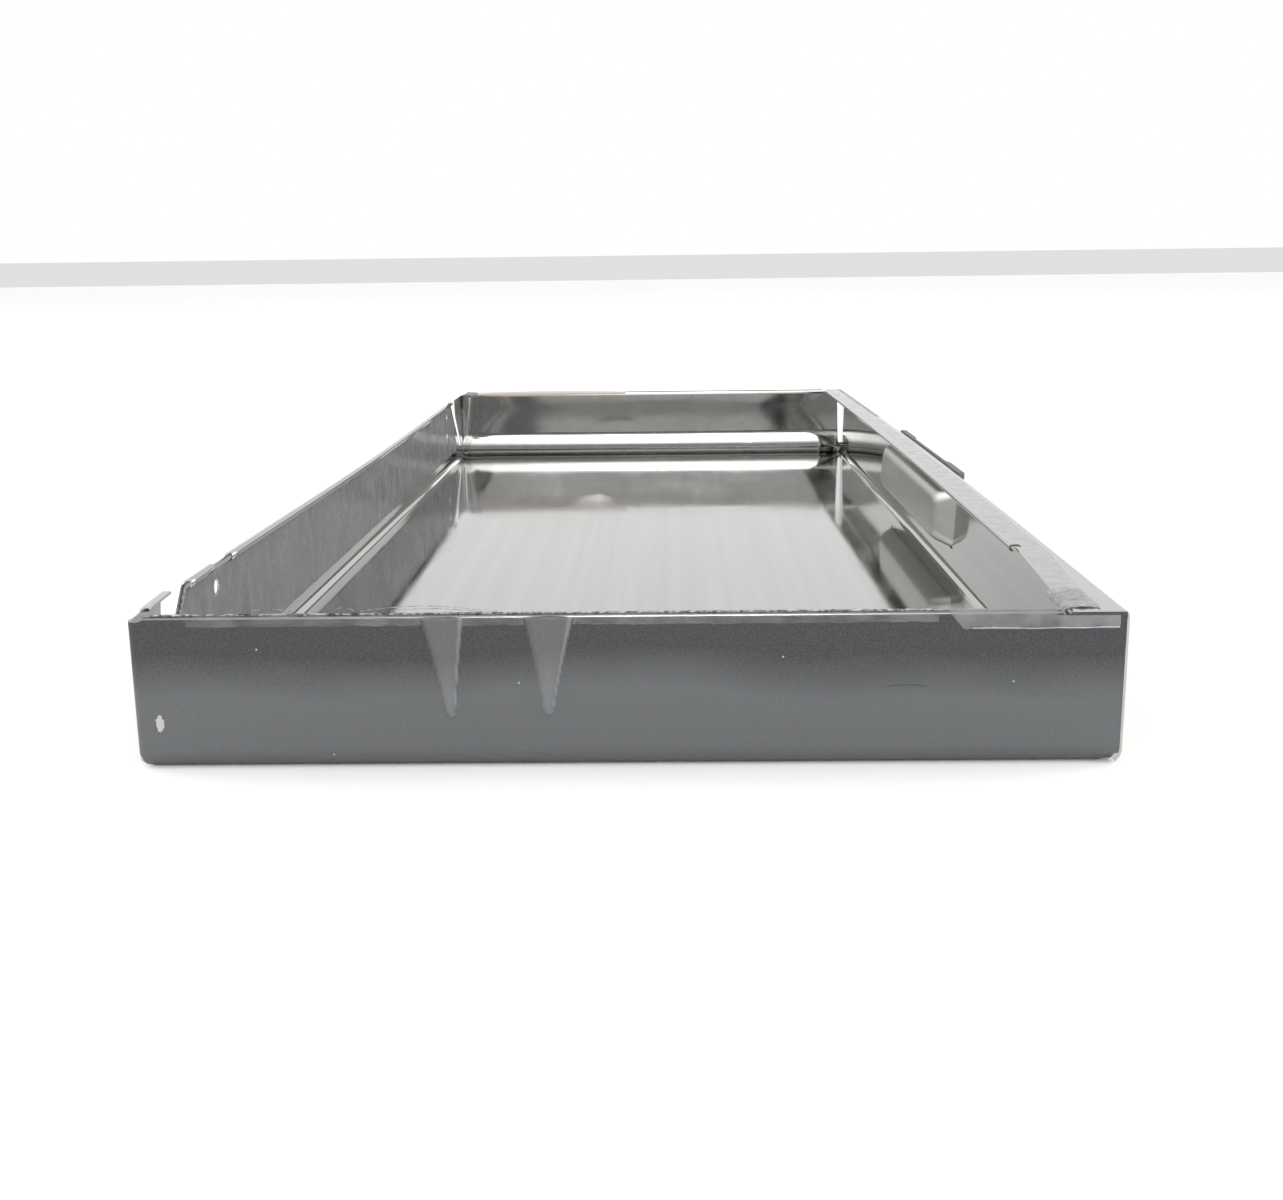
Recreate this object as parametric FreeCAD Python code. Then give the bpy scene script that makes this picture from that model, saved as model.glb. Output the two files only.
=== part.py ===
"""Shallow folded sheet-steel roller tray with a flanged side fascia, a pull cup and protective film.

Frame: X across the tray, fascia at +X; Y along it, front wall at -Y; Z up, floor underside at 0.
All sizes are in millimetres.
"""
import FreeCAD
import Part
import math
import os

V = FreeCAD.Vector
X_AXIS, Z_AXIS = V(1, 0, 0), V(0, 0, 1)

# Tray pan, folded from one sheet.
WIDTH = 300.0
LENGTH = 750.0
HEIGHT = 48.0
SHEET = 0.6
FRONT_BEND = 6.0        # outside radius where the floor turns up into the front wall
BACK_BEND = 16.5        # the same at the back wall
SIDE_BEND = 4.8         # and at the side walls
CORNER_BEND = 2.7       # vertical bend between an end wall and its return tab
CURL = 1.6              # outside radius of the rolled rim
CURL_TURN = 250.0       # degrees that the rim is rolled round

# Side fascia, a second sheet over the right wall, with a flange turned inwards on top.
FLANGE = 13.0           # width up to the middle of its curled edge
FRONT_FLANGE = 17.0     # the same at the front corner, where it widens
NOTCH_START, NOTCH_END = 98.0, 103.0    # notch in the flange's inner edge, from the front
NOTCH_DEEP = 2.2
FRONT_CURL_END = 27.0   # where the front corner's curled edge ends
FLANGE_BEND = 2.2
FLANGE_CURL = 1.3
FLANGE_TURN = 200.0     # degrees that the flange's edge is curled
FOOT_WRAP = 50.0        # degrees that the fascia wraps round the bottom bend
EDGE_HEM = 2.0          # thickness of the folded front edge

# Left wall: cut-outs of the rolled rim and the fixing holes, measured from each end.
HOLE_FROM_END = 88.0
HOLE_RADIUS = 2.65
HOLE_TOP = 38.0
HOLE_PITCH = 13.5
RIM_CUT_OUTER = 8.0     # rim cut-out over the holes: reach towards the near end, and away from it
RIM_CUT_INNER = 13.0
TAB_SPLAY = 3.0         # degrees that the front tab stands out of line
TAB_HEM_START = 14.0    # where the front tab's folded top edge starts
FRONT_TAB = 36.0        # return tabs: length at the rim
BACK_TAB = 45.0
FRONT_SLOT = 19.0       # slot between tab and left wall, at the rim
BACK_SLOT = 25.0
SLOT_FOOT = 9.0         # height of the slots' lower end
GAP_TOP, GAP_FOOT = 3.0, 1.8    # slot between the back wall and the right wall: width at its two ends
GAP_LOW = 5.8           # height of its lower end
GAP_REACH = 4.0         # how far it reaches in from the back

# Pull cup in the middle of the right side.
CUP_HALF = 98.0
CUP_LOW, CUP_HIGH = 13.0, 41.0
CUP_DEEP = 10.0
CUP_SHEET = 0.8
BEZEL = 5.0             # width of its flat frame: at the ends and below, and along the top
BEZEL_TOP = 4.0
LIP_FRONT, LIP_BACK = -89.0, 97.0       # where the lip starts and ends along the cup
LIP_THICK, LIP_END_THICK = 1.8, 3.2     # how far it stands out, between its ends and at them
LIP_END = 40.0          # length of the thicker ends

FILM = 0.12             # thickness of the film and tape, and how far they stand off the rims
LIFT = 0.02
RIM_FILM_INSIDE = 2.6   # how far they hang down inside a rim
PATCH_START = 92.5      # clear patch on the front rim: where it starts, and how far it hangs down
PATCH_DROP = 5.4
WALL_FILM_LOW = 8.0     # lower edge of the film on the left wall

RIGHT = WIDTH / 2
LEFT = -WIDTH / 2
FRONT = -LENGTH / 2
BACK = LENGTH / 2
FLANGE_EDGE = RIGHT - FLANGE
FRONT_FLANGE_EDGE = RIGHT - FRONT_FLANGE
PAN_RIGHT = RIGHT - SHEET          # outside face of the pan's own right wall
FRONT_WALL_END = RIGHT - EDGE_HEM  # the front wall stops at the fascia's folded edge
LIP_FACE = RIGHT + CUP_SHEET + LIP_THICK
LIP_END_FACE = RIGHT + CUP_SHEET + LIP_END_THICK
BIG = 2000.0


def block(x0, x1, y0, y1, z0, z1):
    """A box between two corners."""
    return Part.makeBox(x1 - x0, y1 - y0, z1 - z0, V(x0, y0, z0))


def rounded_bottom(low, high, top, low_radius, high_radius):
    """Corner points and edges of an upright section with both lower corners rounded, in (u, z)."""
    s = low_radius * (1 - math.sqrt(0.5))
    t = high_radius * (1 - math.sqrt(0.5))
    return [
        ("line", (high, top), (low, top)),
        ("line", (low, top), (low, low_radius)),
        ("arc", (low, low_radius), (low + s, s), (low + low_radius, 0)),
        ("line", (low + low_radius, 0), (high - high_radius, 0)),
        ("arc", (high - high_radius, 0), (high - t, t), (high, high_radius)),
        ("line", (high, high_radius), (high, top)),
    ]


def prism(outline, place, along):
    """Extrudes a closed outline; place turns its (u, v) points into space."""
    edges = []
    for kind, *points in outline:
        spots = [place(*p) for p in points]
        edges.append(Part.LineSegment(*spots).toShape() if kind == "line" else Part.Arc(*spots).toShape())
    return Part.Face(Part.Wire(edges)).extrude(along)


def end_section(grow, top):
    """A solid with the tray's side view: lower corners rounded, shrunk by grow on all sides."""
    outline = rounded_bottom(FRONT + grow, BACK - grow, top, FRONT_BEND - grow, BACK_BEND - grow)
    return prism(outline, lambda u, z: V(-BIG, u, z + grow), V(2 * BIG, 0, 0))


def side_section(grow, top):
    """A solid with the tray's end view, shrunk by grow on all sides."""
    outline = rounded_bottom(LEFT + grow, PAN_RIGHT - grow, top, SIDE_BEND - grow, SIDE_BEND - grow)
    return prism(outline, lambda u, z: V(u, -BIG, z + grow), V(0, 2 * BIG, 0))


def plan_section(grow, radius):
    """A solid with the tray's plan and rounded vertical corners, shrunk by grow."""
    solid = block(LEFT + grow, PAN_RIGHT - grow, FRONT + grow, BACK - grow, -1, HEIGHT + 1)
    upright = [e for e in solid.Edges if abs(e.tangentAt(e.FirstParameter).z) > 0.9]
    return solid.makeFillet(radius, upright)


def wedge(points, x0, x1):
    """A plate cut to a polygon in the (y, z) plane, from x0 to x1."""
    wire = Part.makePolygon([V(x0, y, z) for y, z in points + points[:1]])
    return Part.Face(wire).extrude(V(x1 - x0, 0, 0))


def ring_piece(centre, axis, start, outer, inner, turn, length):
    """Part of a tube wall: from the direction start, turned round axis, and drawn out along axis."""
    discs = [Part.Face(Part.Wire(Part.Edge(Part.Circle(centre, axis, radius)))) for radius in (outer, inner)]
    disc = discs[0].cut(discs[1])
    side = axis.cross(start)
    steps = max(2, int(math.ceil(turn / 60.0)))
    reach = outer * 3
    pie = None
    for k in range(steps):
        a = math.radians(turn * k / steps)
        b = math.radians(turn * (k + 1) / steps)
        p = centre + (start * math.cos(a) + side * math.sin(a)) * reach
        q = centre + (start * math.cos(b) + side * math.sin(b)) * reach
        slice_face = Part.Face(Part.makePolygon([centre, p, q, centre]))
        piece = slice_face.extrude(axis * length)
        pie = piece if pie is None else pie.fuse(piece)
    return disc.extrude(axis * length).common(pie).removeSplitter()


def rim_curl_along_y(x_wall, inwards, y0, y1):
    """Rolled rim on a side wall: it leaves the wall's top and rolls inwards and down."""
    centre = V(x_wall + inwards * CURL, y0, HEIGHT - CURL)
    axis = V(0, 1, 0)
    start = V(-inwards, 0, 0)
    turn_way = axis if inwards > 0 else axis * -1
    if inwards < 0:
        centre = V(centre.x, y1, centre.z)
    return ring_piece(centre, turn_way, start, CURL, CURL - SHEET, CURL_TURN, y1 - y0)


def rim_curl_along_x(y_wall, inwards, x0, x1):
    """Rolled rim on an end wall."""
    centre = V(x0 if inwards < 0 else x1, y_wall + inwards * CURL, HEIGHT - CURL)
    turn_way = V(-inwards, 0, 0)
    return ring_piece(centre, turn_way, V(0, -inwards, 0), CURL, CURL - SHEET, CURL_TURN, x1 - x0)


def make_pan():
    """Floor and four walls, with the corner slots, return tabs, rolled rims and fixing holes."""
    wall_top = HEIGHT - CURL
    outside = end_section(0, HEIGHT).common(side_section(0, HEIGHT)).common(plan_section(0, CORNER_BEND))
    hollow = end_section(SHEET, HEIGHT + 1).common(side_section(SHEET, HEIGHT + 1))
    hollow = hollow.common(plan_section(SHEET, CORNER_BEND - SHEET))
    pan = outside.cut(hollow).cut(block(-BIG, BIG, -BIG, BIG, wall_top, HEIGHT + 2))

    # Slots between the left wall and the tabs that the end walls turn round the corner.
    for end, tab, slot, foot in ((-1, FRONT_TAB, FRONT_SLOT, 15.0), (1, BACK_TAB, BACK_SLOT, 22.0)):
        from_end = [(tab, HEIGHT + 1), (tab + slot, HEIGHT + 1), (foot, SLOT_FOOT), (foot - 8, SLOT_FOOT),
                    (tab - 4, HEIGHT - 14)]
        cut = [(end * (LENGTH / 2 - back), z) for back, z in from_end]
        pan = pan.cut(wedge(cut, LEFT - 1, LEFT + 3))

    # The right wall stands clear of the back wall, and the front wall stops at the fascia's folded edge.
    inner = PAN_RIGHT - SHEET
    foot = GAP_LOW + SHEET
    gap = [(inner - GAP_FOOT, foot), (RIGHT, foot), (RIGHT, HEIGHT + 1), (inner - GAP_TOP, HEIGHT + 1)]
    face = Part.Face(Part.makePolygon([V(x, BACK - GAP_REACH, z) for x, z in gap + gap[:1]]))
    pan = pan.cut(face.extrude(V(0, GAP_REACH + 1, 0)))
    pan = pan.cut(block(FRONT_WALL_END, RIGHT + 1, FRONT - 1, FRONT + EDGE_HEM, FRONT_BEND, HEIGHT + 1))
    pan = pan.cut(fascia_hem())
    right_top = HEIGHT - FLANGE_BEND
    pan = pan.cut(block(inner - 1, RIGHT, FRONT + EDGE_HEM, BACK - SHEET, right_top, HEIGHT + 1))

    # Left wall's rim, left plain where the fixing holes are; end walls' rims, clear of the flange.
    rims = []
    hole = LENGTH / 2 - HOLE_FROM_END
    for y0, y1 in ((FRONT + FRONT_TAB + FRONT_SLOT, -hole - RIM_CUT_OUTER),
                   (-hole + RIM_CUT_INNER, hole - RIM_CUT_INNER),
                   (hole + RIM_CUT_OUTER, BACK - BACK_TAB - BACK_SLOT)):
        rims.append(rim_curl_along_y(LEFT, 1, y0, y1))
    rims.append(rim_curl_along_x(FRONT, 1, LEFT + 5, FRONT_FLANGE_EDGE - 3))
    rims.append(rim_curl_along_x(BACK, -1, LEFT + 5, FLANGE_EDGE - 3))
    pan = pan.fuse(rims).removeSplitter()

    for end in (-1, 1):
        for z in (HOLE_TOP, HOLE_TOP - HOLE_PITCH):
            pan = pan.cut(Part.makeCylinder(HOLE_RADIUS, 6, V(LEFT - 2, end * hole, z), X_AXIS))
    pan = pan.cut(block(PAN_RIGHT - 2, RIGHT, -CUP_HALF - CUP_SHEET, CUP_HALF + CUP_SHEET,
                        CUP_LOW - CUP_SHEET, CUP_HIGH + CUP_SHEET))
    return splay_front_tab(pan)


def splay_front_tab(pan):
    """The front return tab, with a flat hem on its top edge, stands a little out of the wall's line."""
    bend_line = V(LEFT + SHEET / 2, FRONT + CORNER_BEND, 0)
    foot = SLOT_FOOT + 5.5
    mid_slot = FRONT + FRONT_TAB + FRONT_SLOT / 2
    outline = [(FRONT + CORNER_BEND, foot), (FRONT + 17, foot), (mid_slot, HEIGHT + 1),
               (FRONT + CORNER_BEND, HEIGHT + 1)]
    region = wedge(outline, LEFT - 1, LEFT + 2)
    tab = pan.common(region)
    rest = pan.cut(region)
    hem_low = HEIGHT - CURL - 0.01
    hem = block(LEFT, LEFT + 3.2, FRONT + TAB_HEM_START, FRONT + FRONT_TAB + 2.5, hem_low, hem_low + 1.1)
    tab = tab.fuse(hem.makeFillet(0.5, [e for e in hem.Edges if abs(e.tangentAt(0).y) > 0.9]))
    tab.rotate(bend_line, Z_AXIS, TAB_SPLAY)
    return rest.fuse(tab).removeSplitter()


def fascia_outline(inset, flange_reach, wrap):
    """The fascia's end view as a path: flange edge, top bend, wall, bottom wrap, drawn inset inwards."""
    top = HEIGHT - inset
    side = RIGHT - inset
    bend = FLANGE_BEND - inset
    upper = V(RIGHT - FLANGE_BEND, 0, HEIGHT - FLANGE_BEND)
    lower = V(PAN_RIGHT - SIDE_BEND, 0, SIDE_BEND)
    foot = SIDE_BEND + SHEET - inset

    def on(centre, radius, degrees):
        a = math.radians(degrees)
        return V(centre.x + radius * math.cos(a), 0, centre.z + radius * math.sin(a))

    return [
        (V(flange_reach, 0, top), on(upper, bend, 90)),
        (on(upper, bend, 90), on(upper, bend, 45), on(upper, bend, 0)),
        (V(side, 0, upper.z), on(lower, foot, 0)),
        (on(lower, foot, 0), on(lower, foot, -wrap / 2), on(lower, foot, -wrap)),
    ]


def path_edges(path):
    return [Part.LineSegment(*p).toShape() if len(p) == 2 else Part.Arc(*p).toShape() for p in path]


def sheet_section(thickness, flange_reach, wrap):
    """Face between the fascia's outside line and the same line inset by the sheet's thickness."""
    outside = fascia_outline(0, flange_reach, wrap)
    inside = fascia_outline(thickness, flange_reach, wrap)
    edges = path_edges(outside) + path_edges(inside)
    edges.append(Part.LineSegment(outside[0][0], inside[0][0]).toShape())
    edges.append(Part.LineSegment(outside[-1][-1], inside[-1][-1]).toShape())
    return Part.Face(Part.Wire(Part.__sortEdges__(edges)))


def fascia_hem():
    """The fascia's front edge, folded back on itself, which the end of the front wall butts against."""
    edge = sheet_section(EDGE_HEM, RIGHT - FLANGE_BEND - 1, FOOT_WRAP)
    hem = edge.extrude(V(0, EDGE_HEM, 0))
    hem.translate(V(0, FRONT, 0))
    return hem.cut(block(-BIG, BIG, -BIG, BIG, HEIGHT - FLANGE_BEND, BIG))


def make_fascia():
    """Outer right-hand skin: flange with a curled inner edge, wall, bottom wrap, folded front edge."""
    skin = sheet_section(SHEET, FRONT_FLANGE_EDGE, FOOT_WRAP).extrude(V(0, LENGTH, 0))
    skin.translate(V(0, FRONT, 0))
    beyond = FRONT_FLANGE_EDGE - 3
    plan = [(beyond, FRONT + FRONT_CURL_END), (FRONT_FLANGE_EDGE, FRONT + FRONT_CURL_END),
            (FLANGE_EDGE, FRONT + NOTCH_START), (FLANGE_EDGE, BACK + 1), (beyond, BACK + 1)]
    low = HEIGHT - 6
    waste = Part.Face(Part.makePolygon([V(x, y, low) for x, y in plan + plan[:1]])).extrude(V(0, 0, 8))
    skin = skin.cut(waste)
    curls = []
    for edge, y0, y1 in ((FRONT_FLANGE_EDGE, FRONT + 4, FRONT + FRONT_CURL_END),
                         (FLANGE_EDGE, FRONT + NOTCH_END, BACK - 6)):
        curls.append(ring_piece(V(edge, y1, HEIGHT - FLANGE_CURL), V(0, -1, 0), Z_AXIS, FLANGE_CURL,
                                FLANGE_CURL - SHEET, FLANGE_TURN, y1 - y0))
    skin = skin.fuse(curls).removeSplitter()
    skin = skin.fuse(fascia_hem()).removeSplitter()
    skin = skin.cut(block(PAN_RIGHT - 1, RIGHT + 1, -CUP_HALF - CUP_SHEET, CUP_HALF + CUP_SHEET,
                          CUP_LOW - CUP_SHEET, CUP_HIGH + CUP_SHEET))
    return skin.cut(block(FLANGE_EDGE - 3, FLANGE_EDGE + NOTCH_DEEP, FRONT + NOTCH_START, FRONT + NOTCH_END,
                          low, HEIGHT + 1))


def cup_solid(grow, end):
    """The pressed pocket as a filled solid, grown by a sheet's thickness and closed at y = +-end."""
    deep = RIGHT - CUP_DEEP - grow
    high, low = CUP_HIGH + grow, CUP_LOW - grow
    points = [(RIGHT + 0.1, high), (RIGHT - 1.5, high), (deep + 1.5, high - 3.5),
              (deep, CUP_HIGH - 5.5 + grow * 0.4), (deep, CUP_LOW + 5.5 - grow * 0.4),
              (deep + 2, low + 3), (RIGHT - 2.5, low), (RIGHT + 0.1, low)]
    wire = Part.makePolygon([V(x, -end, z) for x, z in points + points[:1]])
    solid = Part.Face(wire).extrude(V(0, 2 * end, 0))
    inward = RIGHT - CUP_DEEP - 5
    for side in (-1, 1):
        plan = [(RIGHT + 0.1, end + 1), (inward, end + 1), (inward, end - 8), (RIGHT - 1.5, end),
                (RIGHT + 0.1, end), (RIGHT + 0.1, end + 1)]
        slope = Part.makePolygon([V(x, side * y, 0) for x, y in plan])
        solid = solid.cut(Part.Face(slope).extrude(V(0, 0, HEIGHT)))
    return solid


def make_cup():
    """Pocket for the fingers, pressed from its own sheet, with a flat frame on the fascia's outside."""
    shell = cup_solid(CUP_SHEET, CUP_HALF + CUP_SHEET).cut(cup_solid(0, CUP_HALF))
    half = CUP_HALF + BEZEL
    frame = block(RIGHT, RIGHT + CUP_SHEET, -half, half, CUP_LOW - BEZEL, CUP_HIGH + BEZEL_TOP)
    frame = frame.cut(block(RIGHT - 1, RIGHT + 2, -CUP_HALF, CUP_HALF, CUP_LOW, CUP_HIGH))
    return shell.common(block(-BIG, RIGHT, -BIG, BIG, -BIG, BIG)).fuse(frame).removeSplitter()


def make_lip():
    """Dark moulded finger lip along the top of the cup's frame, thicker at its two ends."""
    low, high = CUP_HIGH + 0.5, HEIGHT - 0.2
    face = RIGHT + CUP_SHEET
    bar = block(face, LIP_FACE, LIP_FRONT, LIP_BACK, low, high)
    bar = bar.makeFillet(0.8, [e for e in bar.Edges if e.CenterOfMass.x > LIP_FACE - 0.1])
    for y0, y1 in ((LIP_FRONT, LIP_FRONT + LIP_END), (LIP_BACK - LIP_END, LIP_BACK)):
        end = block(face, LIP_END_FACE, y0, y1, low, high)
        bar = bar.fuse(end.makeFillet(1.2, [e for e in end.Edges if e.CenterOfMass.x > LIP_END_FACE - 0.1]))
    return bar.removeSplitter()


def make_front_film():
    """Protective film on the front wall's outside, lifted into two tapering blisters."""
    sheet = block(LEFT + 4, FRONT_WALL_END - 1, FRONT - FILM, FRONT, FRONT_BEND, HEIGHT - 3)
    blisters = []
    for x, depth in ((-52.0, 31.0), (-23.5, 30.0)):
        cone = Part.makeCone(0.6, 6.0, depth, V(x, FRONT, HEIGHT - 3 - depth), Z_AXIS)
        flat = FreeCAD.Matrix()
        flat.move(V(-x, -FRONT, 0))
        flat.scale(1, 0.28, 1)
        flat.move(V(x, FRONT, 0))
        cone = cone.transformGeometry(flat)
        blisters.append(cone.common(block(-BIG, BIG, FRONT - 20, FRONT, -1, BIG)))
    under_patch = block(PATCH_START - 0.3, RIGHT, FRONT - 1, FRONT, HEIGHT - PATCH_DROP - 0.3, HEIGHT)
    return sheet.cut(under_patch).fuse(blisters).removeSplitter()


def make_left_wall_film():
    """Film on the left wall's inner face, cut on a slant at the front and pierced by the fixing holes."""
    face = LEFT + SHEET
    top = HEIGHT - 2 * CURL - 0.4
    start = FRONT + FRONT_TAB + FRONT_SLOT
    end = BACK - BACK_TAB - BACK_SLOT
    outline = [(start + 1.5, top), (end - 1, top), (BACK - 38, WALL_FILM_LOW), (FRONT + 26, WALL_FILM_LOW)]
    film = wedge(outline, face, face + FILM)
    hole = LENGTH / 2 - HOLE_FROM_END
    for y in (-hole, hole):
        for z in (HOLE_TOP, HOLE_TOP - HOLE_PITCH):
            film = film.cut(Part.makeCylinder(HOLE_RADIUS + 0.3, 6, V(LEFT - 2, y, z), X_AXIS))
    return film


def over_rim(x0, x1, y_face, inwards, outside_drop, inside_drop):
    """Film laid over an end wall's rolled rim: down the outside, over the top, a little down the inside."""
    def arched(x_low, x_high, gap, foot, radius):
        """A bar that stands off the rolled rim by gap, with its two upper edges rounded."""
        low, high = sorted((y_face - inwards * gap, y_face + inwards * (2 * CURL + gap)))
        bar = block(x_low, x_high, low, high, foot, HEIGHT + gap)
        upper = [e for e in bar.Edges if e.CenterOfMass.z > HEIGHT and abs(e.tangentAt(0).x) > 0.9]
        return bar.makeFillet(radius, upper)

    foot = HEIGHT - outside_drop
    hat = arched(x0, x1, LIFT + FILM, foot, CURL - 0.2)
    hat = hat.cut(arched(x0 - 1, x1 + 1, LIFT, foot - 1, CURL - 0.3))
    y_low, y_high = sorted((y_face + inwards * CURL, y_face + inwards * 6))
    return hat.cut(block(x0 - 1, x1 + 1, y_low, y_high, 0, HEIGHT - inside_drop))


def make_front_film_patch():
    """Clear patch at the right of the front rim: over the rolled rim, and along the wall to the fascia."""
    over = over_rim(PATCH_START, FRONT_FLANGE_EDGE - 3.2, FRONT, 1, PATCH_DROP, RIM_FILM_INSIDE)
    face = block(PATCH_START, FRONT_WALL_END - 1, FRONT - LIFT - FILM, FRONT - LIFT,
                 HEIGHT - PATCH_DROP, HEIGHT - CURL - 0.4)
    return over.fuse(face).removeSplitter()


def make_flange_film():
    """Film left on the inner part of the flange, up to the crumpled end."""
    inner_edge = FLANGE_EDGE + 0.6
    wide = block(inner_edge, RIGHT - 4, FRONT + NOTCH_END, BACK - 8, HEIGHT, HEIGHT + FILM)
    narrow = block(inner_edge, RIGHT - 6, FRONT + 30, FRONT + NOTCH_END, HEIGHT, HEIGHT + FILM)
    notch = block(inner_edge - 1, FLANGE_EDGE + NOTCH_DEEP + 0.4, FRONT + NOTCH_START - 0.4,
                  FRONT + NOTCH_END + 0.4, HEIGHT - 1, HEIGHT + 1)
    return wide.fuse(narrow).removeSplitter().cut(notch)


def make_flange_end_film():
    """Crumpled end of that film, folded over the flange's front corner."""
    edge = FRONT_FLANGE_EDGE
    lower = block(edge - 1.0, RIGHT - 7.5, FRONT + 2, FRONT + 29, HEIGHT + LIFT, HEIGHT + 0.4)
    return lower.fuse(block(edge - 0.5, edge + 5, FRONT + 8, FRONT + 22, HEIGHT + 0.4, HEIGHT + 1.4))


def make_scraps():
    """Scraps of blue film: one at the back left corner, one along the flange's outer back edge."""
    left = block(LEFT + 1, LEFT + 12, BACK + LIFT, BACK + 0.6, HEIGHT - 6, HEIGHT + 0.8)
    right = block(RIGHT - 3.8, RIGHT + 2.2, BACK - 210, BACK - 4, HEIGHT + LIFT, HEIGHT + LIFT + FILM)
    return Part.makeCompound([left, right])


PARTS = {
    "tray_pan": make_pan,
    "side_fascia": make_fascia,
    "pull_cup": make_cup,
    "pull_lip": make_lip,
    "front_wall_film": make_front_film,
    "front_rim_film": lambda: over_rim(LEFT + 6, 92.0, FRONT, 1, 3.0, RIM_FILM_INSIDE),
    "front_rim_tape": make_front_film_patch,
    "left_wall_film": make_left_wall_film,
    "flange_film": make_flange_film,
    "flange_end_film": make_flange_end_film,
    "back_rim_tape": lambda: over_rim(LEFT + 14, -30.0, BACK, -1, 3.5, RIM_FILM_INSIDE),
    "blue_film_scraps": make_scraps,
}

os.makedirs("parts", exist_ok=True)
for name, make in PARTS.items():
    shape = make()
    box = shape.BoundBox
    print(name, "valid" if shape.isValid() else "INVALID", "solids", len(shape.Solids),
          "volume %.0f" % shape.Volume, "x %.1f..%.1f y %.1f..%.1f z %.1f..%.1f" % (
              box.XMin, box.XMax, box.YMin, box.YMax, box.ZMin, box.ZMax))
    shape.exportStep("parts/%s.step" % name)
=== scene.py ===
import math
import bmesh
import bpy
from mathutils import Matrix, Vector, noise
from mathutils.bvhtree import BVHTree


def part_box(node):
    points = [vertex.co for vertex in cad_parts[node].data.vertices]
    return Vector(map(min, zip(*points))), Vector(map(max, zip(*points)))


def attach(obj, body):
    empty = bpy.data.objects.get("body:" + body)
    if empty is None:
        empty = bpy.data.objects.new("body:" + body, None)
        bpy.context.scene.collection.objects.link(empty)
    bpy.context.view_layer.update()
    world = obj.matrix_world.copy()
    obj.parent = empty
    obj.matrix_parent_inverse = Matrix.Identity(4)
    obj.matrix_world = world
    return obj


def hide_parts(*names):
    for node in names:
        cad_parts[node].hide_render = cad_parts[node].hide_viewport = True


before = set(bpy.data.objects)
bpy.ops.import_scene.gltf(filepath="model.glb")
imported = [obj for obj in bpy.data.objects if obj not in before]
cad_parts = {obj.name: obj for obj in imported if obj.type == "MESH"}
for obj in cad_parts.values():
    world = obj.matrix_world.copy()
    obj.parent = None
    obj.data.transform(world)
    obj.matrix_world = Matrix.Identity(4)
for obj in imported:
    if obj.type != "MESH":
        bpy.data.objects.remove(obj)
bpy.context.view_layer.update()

# ------------------------------------------------------------------------------ tray pan
# Floor and four walls folded from one 0.6 mm sheet of bright cold-rolled steel. The rims are rolled
# inwards, the end walls turn round the left corners as tabs, and slots part the tabs from the wall.
MM = 0.001
PAN_LOW, PAN_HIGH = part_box("tray_pan")
FASCIA_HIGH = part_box("side_fascia")[1]
FRONT, BACK, TOP = PAN_LOW[1], PAN_HIGH[1], PAN_HIGH[2]
RIGHT = FASCIA_HIGH[0]
LEFT = -RIGHT
LENGTH, WIDTH = BACK - FRONT, RIGHT - LEFT
SHEET = 0.6 * MM
CURL = 1.6 * MM             # outside radius of the rolled rims
FRONT_BEND = 6.0 * MM       # outside radius of the bend under the front wall
BACK_BEND = 16.5 * MM       # the same under the back wall
SIDE_BEND = 4.8 * MM        # and under the side walls
CELL = 10 * MM              # size of the cells that the flat panels are divided into
BOW_LEFT = 3.2 * MM         # how far the long walls' rims lean to the right at mid length
BOW_RIGHT = 3.0 * MM
QUILT = 0.30 * MM           # height of the floor's shallow waves
RIPPLE = 0.22 * MM          # the same for the walls
DENT = (-35 * MM, 166 * MM)
DENT_HALF = (9 * MM, 30 * MM)
DENT_RISE = 1.5 * MM
WALL_WAVE = (75 * MM, 50 * MM)      # length and height of one ripple on a wall
FLOOR_WAVE = (85 * MM, 160 * MM)    # width and length of one wave of the floor
SIDE_ZONE = (110 * MM, 125 * MM)    # ripples fade in between these distances from the middle, across
END_ZONE = (350 * MM, 365 * MM)     # and along


def smooth_step(low, high, value):
    t = min(max((value - low) / (high - low), 0.0), 1.0)
    return t * t * (3 - 2 * t)


def settle(co):
    """Moves a point as thin sheet settles: the floor quilts upwards, and the long walls bow and ripple."""
    x, y, z = co
    middle = max(math.cos(math.pi * y / LENGTH), 0.0)
    rise = min(max(z / TOP, 0.0), 1.0)
    bow = BOW_LEFT * middle if x < 0 else BOW_RIGHT
    side = noise.noise(Vector((y / WALL_WAVE[0], z / WALL_WAVE[1], 3.0 if x < 0 else 7.0)))
    near_side = smooth_step(*SIDE_ZONE, abs(x))
    x += bow * middle * rise + RIPPLE * side * middle * math.sin(math.pi * rise) * near_side
    end = noise.noise(Vector((co[0] / (70 * MM), z / WALL_WAVE[1], 11.0 if y < 0 else 15.0)))
    near_end = smooth_step(*END_ZONE, abs(y))
    y += RIPPLE * end * math.sin(math.pi * rise) * near_end * max(math.cos(math.pi * co[0] / WIDTH), 0.0)
    inside = smooth_step(0.0, 30 * MM, RIGHT - abs(co[0])) * smooth_step(0.0, 35 * MM, BACK - abs(co[1]))
    if z < 2 * MM:
        wave = 0.5 + 0.5 * noise.noise(Vector((co[0] / FLOOR_WAVE[0], co[1] / FLOOR_WAVE[1], 0.0)))
        z += QUILT * wave * inside
        away = math.hypot((co[0] - DENT[0]) / DENT_HALF[0], (co[1] - DENT[1]) / DENT_HALF[1])
        z += DENT_RISE * math.exp(-away * away)
    return Vector((x, y, z))


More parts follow.
